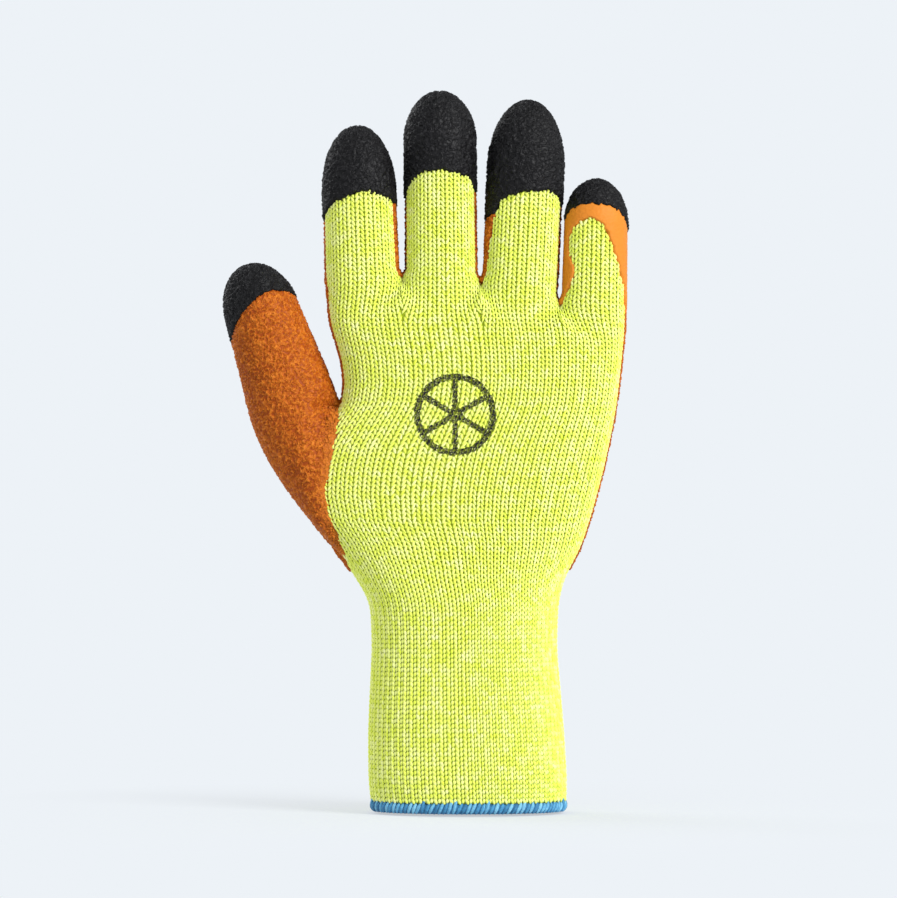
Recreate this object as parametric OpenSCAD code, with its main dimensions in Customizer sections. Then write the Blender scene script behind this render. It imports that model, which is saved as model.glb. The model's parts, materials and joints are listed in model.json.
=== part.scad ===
// Coated knit work glove for the right hand, filled out as it is when worn. Millimetres.
// The hem stands on z = 0 and the fingers point up. The back of the hand faces -Y and the palm +Y.
// The thumb is on the -X side. The origin is the centre of the wrist opening, at the hem's lower edge.
// The knit liner is one seamless piece: it is divided here only where it folds.

/* [Cuff] */
// Height of the wrist fold above the hem
cuff_len = 77.5; // [70:0.5:110]
// Width of the cuff just above the hem
cuff_w = 72.4; // [62:0.2:90]
// Depth of the cuff from back to palm, just above the hem
cuff_d = 49; // [40:0.5:62]
// Width of the cuff at the wrist
wrist_w = 67.6; // [58:0.2:84]
// Depth of the cuff at the wrist
wrist_d = 46; // [38:0.5:58]
// How far the wrist's centre lies towards the thumb from the hem's centre
wrist_shift = 1.6; // [0:0.1:6]
// Height of the overlocked hem
hem_h = 4.3; // [3:0.1:8]
// Thickness of the overlock thread round the knit edge
hem_thread = 0.9; // [0.6:0.1:1.6]
// Number of elastic threads laid inside the cuff
elastic_rings = 5; // [2:1:8]
// Thickness of one elastic thread
elastic_t = 0.9; // [0.6:0.1:1.6]

/* [Hand] */
// Length of the hand from the wrist fold to the crotch between index and middle finger
hand_len = 116; // [95:0.5:140]
// Width across the heel of the hand, without the thumb
heel_w = 94.6; // [80:0.2:114]
// Width across the middle of the palm
palm_w = 101.2; // [86:0.2:120]
// Depth of the palm from back to front, over its middle
palm_d = 37; // [30:0.5:46]
// How far the row of fingers lies from the origin towards the little finger
knuckle_shift = 2.7; // [-4:0.1:8]
// Thickness of the knit
knit_t = 2.6; // [1.6:0.1:4]
// Thickness of the latex coat on the knit
coat_t = 0.8; // [0.4:0.1:1.4]

/* [Fingers, index to little] */
// Width of each finger at its base fold
finger_w = [27, 26.8, 27.5, 23.9]; // [18:0.1:34]
// Width of each finger where its round end starts
tip_w = [26.2, 26.2, 27.4, 23]; // [16:0.1:34]
// Depth of each finger from back to front
finger_d = [23.6, 23.6, 24, 21.4]; // [16:0.1:30]
// Length of each finger from its base fold to its end
finger_len = [53, 66, 64.4, 43]; // [38:0.5:84]
// Length of the rounded end of each finger
round_len = [24, 18, 25, 17]; // [12:0.5:28]
// Lean of each finger towards the little finger, in degrees
finger_lean = [-2, -0.5, 2.6, 1.2]; // [-6:0.1:6]
// How far each base fold lies below the index finger's
fold_drop = [0, 0.3, 2, 9.5]; // [0:0.1:16]
// Clear space between neighbouring fingers at their base folds
finger_gap = [2.2, 2.1, 1.3]; // [1:0.1:5]

/* [Thumb] */
// Centre of the thumb's base fold: distance from the origin towards the thumb side, and above the wrist fold
thumb_at = [67, 79.5]; // [50:0.5:100]
// Lean of the thumb away from the fingers, in degrees
thumb_lean = 18.7; // [10:0.1:26]
// Width of the thumb at its base fold, and where its round end starts
thumb_w = [31.4, 27]; // [20:0.1:38]
// Depth of the thumb
thumb_d = 26.6; // [18:0.1:32]
// Length of the thumb from its base fold to its end
thumb_len = 46; // [38:0.5:60]
// Length of the rounded end of the thumb
thumb_round = 19; // [12:0.5:24]
// How far the thumb's fold is turned towards the fingers, in degrees
thumb_turn = 14; // [0:1:30]

/* [Folds] */
// Bend of the base folds, the middle folds and the end folds of the fingers, in degrees
finger_bend = [68, 78, 46]; // [20:1:80]
// Bend of the base fold and the end fold of the thumb, in degrees
thumb_bend = [40, 52]; // [20:1:60]
// Bend of the wrist to either side, in degrees
wrist_bend = 45; // [20:1:50]
// Distance of the fold lines from the fingers' centre lines, towards the palm
fold_depth = 4; // [2:0.1:6]

/* [Print] */
// Outer diameter of the printed ring on the back of the hand
print_dia = 30; // [20:1:44]
// Width of the printed lines
print_line = 2.2; // [1.4:0.1:3.4]

/* [Hidden] */

knit_yellow = "#dcee46";
latex_orange = "#c9641d";
latex_black = "#2a2a2c";
thread_blue = "#3f8fbf";
elastic_white = "#e8e6dc";
print_black = "#26262a";

// Clearances
fold_clear = 0.45; // half the gap between two pieces at the back of a fold
fold_slack = 0.3;  // between a fold and the pieces that it joins
skin_clear = 0.15; // between a coat and the knit below it
spare_angle = 2;   // a fold's notch is this much wider than its bend, on each side
fold_round = 1.5;  // how softly a notch starts at its fold line
past = 1;          // how far a cutting shape runs past what it cuts

// Facets
body_sides = 36;
digit_sides = 20;
coat_steps = digit_sides / 2 + 2; // the coat laps one facet round each side, from the palm

// Distance of a finger's index side from the index finger's own
function finger_start(i) = i == 0 ? 0 : finger_start(i - 1) + finger_w[i - 1] + finger_gap[i - 1];
knuckle_z = cuff_len + hand_len;
knuckle_w = finger_start(3) + finger_w[3];
neck_z = cuff_len * 0.78;

// The hand's outline: height, centre x, half width, half depth, and how square the oval is
outline = [
    [0, 0, cuff_w / 2 - 1, cuff_d / 2 - 1, 2.1],
    [hem_h + 0.5, 0, cuff_w / 2 - 1, cuff_d / 2 - 1, 2.1],
    [hem_h + 5, -0.3, cuff_w / 2, cuff_d / 2, 2.1],
    [cuff_len * 0.4, -0.6 * wrist_shift, (cuff_w + wrist_w) / 4 + 0.6, (cuff_d + wrist_d) / 4 + 0.3, 2.1],
    [neck_z, -wrist_shift, wrist_w / 2, wrist_d / 2, 2.1],
    [cuff_len, -wrist_shift, wrist_w / 2 + 0.5, wrist_d / 2, 2.15],
    [cuff_len + hand_len * 0.08, -3.6, wrist_w * 0.3 + heel_w * 0.2, wrist_d * 0.3 + palm_d * 0.2, 2.2],
    [cuff_len + hand_len * 0.16, -3.6, wrist_w * 0.1 + heel_w * 0.4, wrist_d * 0.1 + palm_d * 0.42, 2.25],
    [cuff_len + hand_len * 0.27, -2.4, heel_w / 2, palm_d / 2 + 1, 2.3],
    [cuff_len + hand_len * 0.42, -0.5, palm_w / 2 - 0.6, palm_d / 2 + 0.6, 2.4],
    [cuff_len + hand_len * 0.60, 3.2, palm_w / 2, palm_d / 2, 2.5],
    [cuff_len + hand_len * 0.76, knuckle_shift + 1.2, (palm_w + knuckle_w) / 4 - 1, palm_d / 2 - 1, 2.6],
    [cuff_len + hand_len * 0.88, knuckle_shift + 0.5, knuckle_w / 2 - 1.2, palm_d / 2 - 3.2, 2.7],
    [cuff_len + hand_len * 0.955, knuckle_shift, knuckle_w / 2 - 1.4, finger_d[0] / 2 + 0.8, 2.8],
];
web_slope = 0.155; // fall of the row of crotches from index to little finger
web_z = knuckle_z - 3.6;

function column(i) = [for (r = outline) [r[0], r[i]]];
function body_size(z, g) = [
    lookup(z, column(2)) + g, lookup(z, column(3)) + g, lookup(z, column(4)), lookup(z, column(1))];

// A digit: x, y and z of its base fold, lean, turn of its folds, half widths, half depth, length, rounded end
base_rise = 5.5; // of the index finger's base fold above the crotch
function finger(i) = [
    knuckle_shift - knuckle_w / 2 + finger_start(i) + finger_w[i] / 2, 0,
    knuckle_z + base_rise - fold_drop[i], finger_lean[i], 0,
    [finger_w[i] / 2 - coat_t, tip_w[i] / 2 - coat_t], finger_d[i] / 2 - coat_t,
    finger_len[i] - coat_t, round_len[i]];
INDEX = finger(0);
MIDDLE = finger(1);
RING = finger(2);
LITTLE = finger(3);
thumb_y = 3; // how far the thumb's axis lies towards the palm
THUMB = [
    -thumb_at[0], thumb_y, cuff_len + thumb_at[1], -thumb_lean, thumb_turn,
    [thumb_w[0] / 2 - coat_t, thumb_w[1] / 2 - coat_t], thumb_d / 2 - coat_t,
    thumb_len - coat_t, thumb_round];

// Folds: heights above the base fold, as shares of the digit's length, and half their notch angles
finger_folds = [0, 0.35, 0.67];
thumb_folds = [0, 0.56];
function fold_at(d, k) = (d == THUMB ? thumb_folds[k] : finger_folds[k]) * d[7];
function fold_tan(d, k) = tan((d == THUMB ? thumb_bend[k] : finger_bend[k]) / 2 + spare_angle);

// Half width and half depth of a digit at height s above its base fold, g mm outside its knit
function digit_size(d, s, g) =
    let(start = d[7] - d[8],
        w = lookup(s, [[0, d[5][0]], [start, d[5][1]]]),
        u = min(1, max(0, (s - start) / (d[8] + g))),
        f = sqrt(1 - u * u))
    [(w + g) * f, (d[6] + g) * f, 2, 0];

// The side of a cut: height at the fold line, slope towards the palm, and turn of the fold
function above(d, k, slack) = [fold_at(d, k) + fold_clear - slack, fold_tan(d, k), d[4]];
function below(d, k, slack) = [fold_at(d, k) - fold_clear + slack, -fold_tan(d, k), d[4]];
function notch(y) = (y - fold_depth + sqrt(pow(y - fold_depth, 2) + fold_round)) / 2;
function digit_cut(c, p) = c[0] + c[1] * notch(p[0] * sin(c[2]) + p[1] * cos(c[2]));
function wrist_cut(side, slack, p) =
    cuff_len + side * (fold_clear - slack + tan(wrist_bend / 2 + spare_angle) * abs(p[1]));

// A point on an oval, and a point of a digit between two cuts
function oval(size, q) = [
    size[3] + size[0] * sign(cos(q)) * pow(abs(cos(q)), 2 / size[2]),
    size[1] * sign(sin(q)) * pow(abs(sin(q)), 2 / size[2])];
function settle(d, c, q, g) =
    let(s0 = digit_cut(c, oval(digit_size(d, c[0], g), q)))
    digit_cut(c, oval(digit_size(d, s0, g), q));
function digit_point(d, lo, hi, g, q, u) =
    let(a = settle(d, lo, q, g),
        b = is_num(hi) ? hi + g : settle(d, hi, q, g),
        s = a + (b - a) * u,
        p = oval(digit_size(d, s, g), q))
    [p[0], p[1], s];
function digit_ring(d, lo, hi, g, u) =
    [for (i = [0:digit_sides - 1]) digit_point(d, lo, hi, g, 360 * i / digit_sides, u)];
function body_oval(z, g) = [for (i = [0:body_sides - 1]) oval(body_size(z, g), 360 * i / body_sides)];
function body_ring(z, g) = [for (p = body_oval(z, g)) [p[0], p[1], z]];

// Rings joined into one closed surface: a tube through all of them and back to the first
module tube_of(rings) {
    n = len(rings[0]);
    m = len(rings);
    polyhedron(points = [for (r = rings) each r], convexity = 8, faces = [
        for (j = [0:m - 1], i = [0:n - 1])
            [j * n + i, ((j + 1) % m) * n + i, ((j + 1) % m) * n + (i + 1) % n, j * n + (i + 1) % n]]);
}

// The same rings closed by a point at each end
module cup_of(start, rings, end) {
    n = len(rings[0]);
    m = len(rings);
    first = n * m;
    polyhedron(points = concat([for (r = rings) each r], [start, end]), convexity = 8, faces = concat(
        [for (j = [0:m - 2], i = [0:n - 1])
            [j * n + i, (j + 1) * n + i, (j + 1) * n + (i + 1) % n, j * n + (i + 1) % n]],
        [for (i = [0:n - 1]) [first, i, (i + 1) % n]],
        [for (i = [0:n - 1]) [first + 1, (m - 1) * n + (i + 1) % n, (m - 1) * n + i]]));
}

// The solid between two flat rings
module span(low, high) {
    n = len(low);
    hull() polyhedron(points = concat(low, high), faces = concat(
        [for (i = [0:n - 1]) [i, n + i, n + (i + 1) % n, (i + 1) % n]],
        [[for (i = [0:n - 1]) i]], [[for (i = [n - 1:-1:0]) n + i]]));
}

module spans(rings) for (i = [0:len(rings) - 2]) span(rings[i], rings[i + 1]);

module at_digit(d) translate([d[0], d[1], d[2]]) rotate([0, d[3], 0]) children();

// A length of a digit between two cuts, from g_in to g_out outside its knit's surface
module sleeve(d, lo, hi, g_in, g_out, rows = 2) at_digit(d) tube_of(concat(
    [for (j = [0:rows]) digit_ring(d, lo, hi, g_in, 1 - j / rows)],
    [for (j = [0:rows]) digit_ring(d, lo, hi, g_out, j / rows)]));

// The closed end of a digit above a cut
end_rows = [0, 0.35, 0.6, 0.8, 0.93, 0.985];
module end_cap(d, lo, g_in, g_out) at_digit(d) cup_of([0, 0, d[7] + g_in], concat(
    [for (j = [len(end_rows) - 1:-1:0]) digit_ring(d, lo, d[7], g_in, end_rows[j])],
    [for (u = end_rows) digit_ring(d, lo, d[7], g_out, u)]), [0, 0, d[7] + g_out]);

// A coat on the palm side of a digit, between two cuts
module palm_strip(d, lo, hi, rows = 2) {
    n = coat_steps + 1;
    m = 2 * n;
    function edge(i) = 360 / digit_sides * (i - 1);
    function loop(u) = concat(
        [for (i = [0:coat_steps]) digit_point(d, lo, hi, skin_clear + coat_t, edge(i), u)],
        [for (i = [coat_steps:-1:0]) digit_point(d, lo, hi, skin_clear, edge(i), u)]);
    at_digit(d) polyhedron(points = [for (j = [0:rows]) each loop(j / rows)], convexity = 6, faces = concat(
        [for (j = [0:rows - 1], i = [0:m - 1])
            [j * m + i, (j + 1) * m + i, (j + 1) * m + (i + 1) % m, j * m + (i + 1) % m]],
        [for (i = [0:n - 2]) [i, i + 1, m - 2 - i, m - 1 - i]],
        [for (i = [0:n - 2]) [rows * m + i, rows * m + m - 1 - i, rows * m + m - 2 - i, rows * m + i + 1]]));
}

module knit_length(d, k) color(knit_yellow) sleeve(d, above(d, k, 0), below(d, k + 1, 0), -knit_t, 0);
module knit_end(d, k) color(knit_yellow) end_cap(d, above(d, k, 0), -knit_t, 0);
module fold(d, k) color(knit_yellow)
    sleeve(d, below(d, k, fold_slack), above(d, k, fold_slack), -knit_t, 0, 1);
module dipped_length(d, k, c) color(c)
    sleeve(d, above(d, k, 0), below(d, k + 1, 0), skin_clear, skin_clear + coat_t);
module dipped_end(d, k) color(latex_black) end_cap(d, above(d, k, 0), skin_clear, skin_clear + coat_t);
module coated_length(d, k) color(latex_orange) palm_strip(d, above(d, k, 0), below(d, k + 1, 0));

// The root of a finger, from inside the hand to its base fold: height of each ring, and how much wider
// and deeper than the finger it is
root_rise = [-26, -6, 0];
root_swell = [[-3.5, -2.1], [1.1, 0.7], [0, 0]];
module finger_root(d, g, over) at_digit(d) spans([for (i = [0:2])
    let(size = [d[5][0] + root_swell[i][0] + g, d[6] + root_swell[i][1] + g, 2, 0])
    [for (j = [0:digit_sides - 1]) let(p = oval(size, 360 * j / digit_sides))
        [p[0], p[1], root_rise[i] + (i == 2 ? over : 0)]]]);

// The ball of the thumb: place of each ring's centre as shares of the way from the wrist to the thumb's
// base fold (x, y, height), then its half width, half depth and lean
thumb_root = [
    [0.45, 0, 0.15, 10.5, 10, 37],
    [0.66, 0.33, 0.43, 13, 13.2, 36],
    [0.85, 0.67, 0.69, 15.4, 14.2, 27],
];
module thumb_base(g, over) {
    function slice(at, size, lean) = [for (i = [0:digit_sides - 1])
        let(p = oval([size[0] + g, size[1] + g, 2, 0], 360 * i / digit_sides))
        [at[0] + p[0] * cos(lean), at[1] + p[1], at[2] + p[0] * sin(lean)]];
    spans(concat(
        [for (r = thumb_root) slice(
            [-r[0] * thumb_at[0], r[1] * thumb_y, cuff_len + r[2] * thumb_at[1]], [r[3], r[4]], r[5])],
        [slice([THUMB[0] + sin(THUMB[3]) * over, THUMB[1], THUMB[2] + cos(THUMB[3]) * over],
            [THUMB[5][0], THUMB[6]], -THUMB[3])]));
}

// What a fold cuts out of the hand below a digit: the wedge on the palm side
notch_reach = 21;  // how far the wedge goes to the back and to the palm
notch_step = 1.5;
module root_notch(d) at_digit(d) rotate([0, 0, -d[4]]) rotate([90, 0, 90])
    linear_extrude(2 * d[5][0] + finger_gap[0], center = true) polygon(concat(
        [for (y = [-notch_reach:notch_step:notch_reach]) [y, -fold_clear - notch(y) * fold_tan(d, 0)]],
        [[notch_reach, notch_reach], [-notch_reach, notch_reach]]));

module wrist_notch(side) rotate([90, 0, 90]) linear_extrude(2 * palm_w, center = true) polygon(concat(
    [for (y = [-wrist_d, 0, wrist_d]) [y, wrist_cut(side, 0, [0, y])]],
    [[wrist_d, cuff_len - side * wrist_d], [-wrist_d, cuff_len - side * wrist_d]]));

// The whole hand without its digits, g mm outside the knit
function web_ring(g) = [for (p = body_ring(web_z, g)) [p[0], p[1], web_z + min(g, 0) - web_slope * p[0]]];
module hand_form(g, over) {
    spans(concat([for (r = outline) if (r[0] >= cuff_len) body_ring(r[0], g)], [web_ring(g)]));
    for (d = [INDEX, MIDDLE, RING, LITTLE]) finger_root(d, g, over);
    thumb_base(g, over);
}

module hand_cuts() {
    wrist_notch(1);
    for (d = [INDEX, MIDDLE, RING, LITTLE, THUMB]) root_notch(d);
}

module hand_knit() color(knit_yellow) difference() {
    hand_form(0, past);
    hand_form(-knit_t, 2 * past);
    hand_cuts();
}

// Where the coat lies: the palm side, and all round the thumb
coat_low = cuff_len + 12;
coat_edge = 1.5; // the coat's edge on the sides of the hand, towards the palm
thumb_side = 18 - thumb_at[0];
thumb_edge = [[8, 0], [-2, 20], [-3, 34], [3, 66], [-1, 76]]; // on the back, from thumb_side and coat_low
module coat_area() {
    reach = 2 * palm_w;
    translate([-reach, coat_edge, coat_low]) cube([2 * reach, reach, reach]);
    rotate([90, 0, 0]) linear_extrude(reach, center = true) polygon(concat(
        [for (p = thumb_edge) [thumb_side + p[0], coat_low + p[1]]],
        [[-reach, coat_low + thumb_edge[4][1]], [-reach, coat_low]]));
}

module palm_coat() color(latex_orange) intersection() {
    difference() {
        hand_form(skin_clear + coat_t, past);
        hand_form(skin_clear, 2 * past);
        hand_cuts();
    }
    coat_area();
}

// A length of the cuff between two cuts, each given by a function of the place on the oval
module cuff_tube(lo, hi, shares) {
    function end(cut, g, q, z, tries) =
        tries == 0 ? z : end(cut, g, q, cut(oval(body_size(z, g), q)), tries - 1);
    function ring(g, u) = [for (i = [0:body_sides - 1]) let(q = 360 * i / body_sides,
        a = end(lo, g, q, cuff_len, 4), b = end(hi, g, q, cuff_len, 4),
        s = a + (b - a) * u, p = oval(body_size(s, g), q)) [p[0], p[1], s]];
    last = len(shares) - 1;
    tube_of(concat([for (j = [last:-1:0]) ring(-knit_t, shares[j])], [for (u = shares) ring(0, u)]));
}

module cuff_knit() color(knit_yellow) cuff_tube(
    function(p) hem_thread + skin_clear, function(p) wrist_cut(-1, 0, p),
    [0, 0.05, 0.13, 0.3, 0.55, 0.8, 1]);
module wrist_fold() color(knit_yellow) cuff_tube(
    function(p) wrist_cut(-1, fold_slack, p), function(p) wrist_cut(1, fold_slack, p),
    [0, 0.25, 0.5, 0.75, 1]);

// The overlock thread wraps the knit's lower edge: a channel, open upwards, with a flat underside
module hem_oval(g) polygon(body_oval(hem_h, g));
module hem_overlock() color(thread_blue) difference() {
    linear_extrude(hem_h) hem_oval(skin_clear + hem_thread);
    translate([0, 0, -past]) linear_extrude(hem_h + 2 * past) hem_oval(-knit_t - skin_clear - hem_thread);
    translate([0, 0, hem_thread]) linear_extrude(hem_h) difference() {
        hem_oval(skin_clear);
        hem_oval(-knit_t - skin_clear);
    }
}

// Elastic threads lie against the inside of the cuff's knit
module cuff_elastic() color(elastic_white) for (j = [1:elastic_rings]) {
    z = hem_h + (neck_z - hem_h) * j / (elastic_rings + 0.5);
    tube_of([for (c = [[1, 0], [1, 1], [0, 1], [0, 0]])
        [for (p = body_oval(z, -knit_t - skin_clear - elastic_t * c[0])) [p[0], p[1], z + elastic_t * c[1]]]]);
}

// A plain ring with six arms, printed on the back of the hand
print_at = [-5, cuff_len + 68];
print_t = 0.3;
module back_form(g) spans([for (r = outline) if (r[0] >= cuff_len) body_ring(r[0], g)]);
module back_print() color(print_black) intersection() {
    difference() {
        back_form(skin_clear + print_t);
        back_form(skin_clear);
    }
    translate([print_at[0], 0, print_at[1]]) rotate([90, 0, 0]) linear_extrude(palm_d) {
        difference() {
            circle(d = print_dia, $fn = 40);
            circle(d = print_dia - 2 * print_line, $fn = 40);
        }
        for (q = [0:60:179]) rotate(q) square([print_dia - print_line, print_line], center = true);
    }
}

module index_base_fold() fold(INDEX, 0);
module index_proximal_knit() knit_length(INDEX, 0);
module index_proximal_coat() coated_length(INDEX, 0);
module index_middle_fold() fold(INDEX, 1);
module index_middle_knit() knit_length(INDEX, 1);
module index_middle_dip() dipped_length(INDEX, 1, latex_black);
module index_end_fold() fold(INDEX, 2);
module index_distal_knit() knit_end(INDEX, 2);
module index_tip_dip() dipped_end(INDEX, 2);

module middle_base_fold() fold(MIDDLE, 0);
module middle_proximal_knit() knit_length(MIDDLE, 0);
module middle_proximal_coat() coated_length(MIDDLE, 0);
module middle_middle_fold() fold(MIDDLE, 1);
module middle_middle_knit() knit_length(MIDDLE, 1);
module middle_middle_dip() dipped_length(MIDDLE, 1, latex_black);
module middle_end_fold() fold(MIDDLE, 2);
module middle_distal_knit() knit_end(MIDDLE, 2);
module middle_tip_dip() dipped_end(MIDDLE, 2);

module ring_base_fold() fold(RING, 0);
module ring_proximal_knit() knit_length(RING, 0);
module ring_proximal_coat() coated_length(RING, 0);
module ring_middle_fold() fold(RING, 1);
module ring_middle_knit() knit_length(RING, 1);
module ring_middle_dip() dipped_length(RING, 1, latex_black);
module ring_end_fold() fold(RING, 2);
module ring_distal_knit() knit_end(RING, 2);
module ring_tip_dip() dipped_end(RING, 2);

module little_base_fold() fold(LITTLE, 0);
module little_proximal_knit() knit_length(LITTLE, 0);
module little_proximal_coat() coated_length(LITTLE, 0);
module little_middle_fold() fold(LITTLE, 1);
module little_middle_knit() knit_length(LITTLE, 1);
module little_middle_coat() dipped_length(LITTLE, 1, latex_orange);
module little_end_fold() fold(LITTLE, 2);
module little_distal_knit() knit_end(LITTLE, 2);
module little_tip_dip() dipped_end(LITTLE, 2);

module thumb_base_fold() fold(THUMB, 0);
module thumb_proximal_knit() knit_length(THUMB, 0);
module thumb_proximal_coat() dipped_length(THUMB, 0, latex_orange);
module thumb_end_fold() fold(THUMB, 1);
module thumb_distal_knit() knit_end(THUMB, 1);
module thumb_tip_dip() dipped_end(THUMB, 1);

cuff_knit();
hem_overlock();
cuff_elastic();
wrist_fold();
hand_knit();
palm_coat();
back_print();
index_base_fold();
index_proximal_knit();
index_proximal_coat();
index_middle_fold();
index_middle_knit();
index_middle_dip();
index_end_fold();
index_distal_knit();
index_tip_dip();
middle_base_fold();
middle_proximal_knit();
middle_proximal_coat();
middle_middle_fold();
middle_middle_knit();
middle_middle_dip();
middle_end_fold();
middle_distal_knit();
middle_tip_dip();
ring_base_fold();
ring_proximal_knit();
ring_proximal_coat();
ring_middle_fold();
ring_middle_knit();
ring_middle_dip();
ring_end_fold();
ring_distal_knit();
ring_tip_dip();
little_base_fold();
little_proximal_knit();
little_proximal_coat();
little_middle_fold();
little_middle_knit();
little_middle_coat();
little_end_fold();
little_distal_knit();
little_tip_dip();
thumb_base_fold();
thumb_proximal_knit();
thumb_proximal_coat();
thumb_end_fold();
thumb_distal_knit();
thumb_tip_dip();
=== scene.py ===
"""Looks of a coated knit work glove. Lengths are in millimetres until a mesh is laid."""
import json
import math

import bmesh
import bpy
import numpy as np
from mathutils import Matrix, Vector, noise


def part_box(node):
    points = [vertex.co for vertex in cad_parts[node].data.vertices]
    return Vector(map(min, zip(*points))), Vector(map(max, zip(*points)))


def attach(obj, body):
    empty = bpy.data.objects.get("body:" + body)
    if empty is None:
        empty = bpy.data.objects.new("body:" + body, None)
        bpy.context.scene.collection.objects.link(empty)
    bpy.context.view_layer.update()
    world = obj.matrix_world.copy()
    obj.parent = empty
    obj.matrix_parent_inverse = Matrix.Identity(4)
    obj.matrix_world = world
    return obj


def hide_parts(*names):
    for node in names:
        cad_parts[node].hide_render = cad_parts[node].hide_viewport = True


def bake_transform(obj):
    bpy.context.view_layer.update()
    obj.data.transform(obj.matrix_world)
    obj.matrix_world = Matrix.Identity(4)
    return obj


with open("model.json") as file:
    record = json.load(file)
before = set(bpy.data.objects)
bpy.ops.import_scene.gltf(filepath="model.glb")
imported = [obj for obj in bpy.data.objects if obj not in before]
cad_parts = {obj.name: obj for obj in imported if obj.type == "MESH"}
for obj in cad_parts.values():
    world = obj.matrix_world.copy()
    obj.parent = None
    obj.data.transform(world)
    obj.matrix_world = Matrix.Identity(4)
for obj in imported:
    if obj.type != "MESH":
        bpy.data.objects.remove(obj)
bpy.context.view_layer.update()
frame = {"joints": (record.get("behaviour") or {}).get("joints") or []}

# ---------------------------------------------------------------------------------------------
# Studio: a flat pale sweep, a soft dome and two large lamps, seen through a long lens from straight
# in front of the back of the hand. Only the floor keeps a faint shadow round the hem.
scene = bpy.context.scene
scene.view_settings.view_transform = "Standard"


def colour(web):
    """A #rrggbb colour as linear red, green, blue and alpha."""
    parts = [int(web[i:i + 2], 16) / 255 for i in (1, 3, 5)]
    return tuple(c / 12.92 if c <= 0.04045 else ((c + 0.055) / 1.055) ** 2.4 for c in parts) + (1.0,)


class Wire:
    """A shader socket that does sums: an expression on wires and numbers adds its Math nodes."""

    def __init__(self, finish, socket):
        self.finish, self.socket = finish, socket

    def sum(self, operation, *terms):
        return self.finish.add("ShaderNodeMath", {"operation": operation}, dict(enumerate(terms)))

    def __add__(self, other):
        return self.sum("ADD", self, other)

    def __sub__(self, other):
        return self.sum("SUBTRACT", self, other)

    def __rsub__(self, other):
        return self.sum("SUBTRACT", other, self)

    def __mul__(self, other):
        return self.sum("MULTIPLY", self, other)

    def __lt__(self, other):
        return self.sum("LESS_THAN", self, other)

    def __abs__(self):
        return self.sum("ABSOLUTE", self)

    __radd__, __rmul__ = __add__, __mul__


class Finish:
    """The node tree of one finish, of the floor or of the world."""

    def __init__(self, owner):
        owner.use_nodes = True
        self.owner, self.tree = owner, owner.node_tree
        self.tree.nodes.clear()

    def add(self, kind, settings=None, values=None, output=0):
        node = self.tree.nodes.new(kind)
        for key, value in (settings or {}).items():
            if key == "stops":
                for i, (place, shade) in enumerate(value):
                    stop = node.color_ramp.elements[i] if i < 2 else node.color_ramp.elements.new(place)
                    stop.position, stop.color = place, shade
            else:
                setattr(node, key, value)
        for key, value in (values or {}).items():
            if isinstance(value, Wire):
                self.tree.links.new(value.socket, node.inputs[key])
            else:
                node.inputs[key].default_value = value
        return Wire(self, node.outputs[output]) if node.outputs else node

    def mix(self, factor, low, high):
        """One colour or the other, by a factor."""
        return self.add("ShaderNodeMix", {"data_type": "RGBA"}, {0: factor, 6: low, 7: high}, output=2)


paper = colour("#edf2f7")


def direct(finish):
    """1 for the rays that show the background: from the camera, off a mirror or through glass."""
    seen = finish.add("ShaderNodeLightPath", output="Is Camera Ray")
    for ray in ("Is Glossy Ray", "Is Transmission Ray"):
        seen = seen.sum("MAXIMUM", seen, finish.add("ShaderNodeLightPath", output=ray))
    return seen


scene.world = bpy.data.worlds.new("studio")
dome = Finish(scene.world)
dome_light = 0.66
shade = dome.mix(direct(dome), tuple(dome_light * c for c in colour("#ffffff")[:3]) + (1,), paper)
dome.add("ShaderNodeOutputWorld", None, {0: dome.add("ShaderNodeBackground", None, {"Color": shade})})

floor_mesh = bpy.data.meshes.new("floor")
floor_form = bmesh.new()
bmesh.ops.create_grid(floor_form, x_segments=1, y_segments=1, size=6)
bmesh.ops.translate(floor_form, verts=floor_form.verts, vec=(0, 0, -0.0006))
floor_form.to_mesh(floor_mesh)
floor = bpy.data.objects.new("floor", floor_mesh)
scene.collection.objects.link(floor)
sweep = Finish(bpy.data.materials.new("sweep"))
here = sweep.add("ShaderNodeTexCoord", output=3)
reach = sweep.add("ShaderNodeVectorMath", {"operation": "LENGTH"}, {0: here}, output=1)
near = sweep.add("ShaderNodeMapRange", None, {"Value": reach, 1: 0.05, 2: 0.22, 3: 0.4, 4: 0.0})
lit = sweep.add("ShaderNodeBsdfDiffuse", None, {"Color": colour("#d6dbe0")})
flat = sweep.add("ShaderNodeEmission", None, {"Color": paper})
ground = sweep.add("ShaderNodeMixShader", None, {0: direct(sweep) * (1 - near), 1: lit, 2: flat})
sweep.add("ShaderNodeOutputMaterial", None, {0: ground})
floor_mesh.materials.append(sweep.owner)

glove_middle = Vector((0, 0, 0.13))
for name, place, size, power in (("key", (1.3, -1.3, 1.1), 0.8, 39), ("rim", (-1.2, 0.9, 1.0), 1.0, 12)):
    lamp = bpy.data.objects.new(name, bpy.data.lights.new(name, "AREA"))
    lamp.data.size, lamp.data.energy = size, power
    lamp.location = place
    lamp.rotation_euler = (glove_middle - lamp.location).to_track_quat("-Z", "Y").to_euler()
    scene.collection.objects.link(lamp)

view_width, stand_off = 0.3296, 2.2
camera = bpy.data.objects.new("camera", bpy.data.cameras.new("camera"))
camera.location = (-0.0074, -stand_off, 0.133)
camera.rotation_euler = (math.pi / 2, 0, 0)
camera.data.sensor_width = 36
camera.data.lens = 36 * stand_off / view_width
scene.collection.objects.link(camera)
scene.camera = camera

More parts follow.
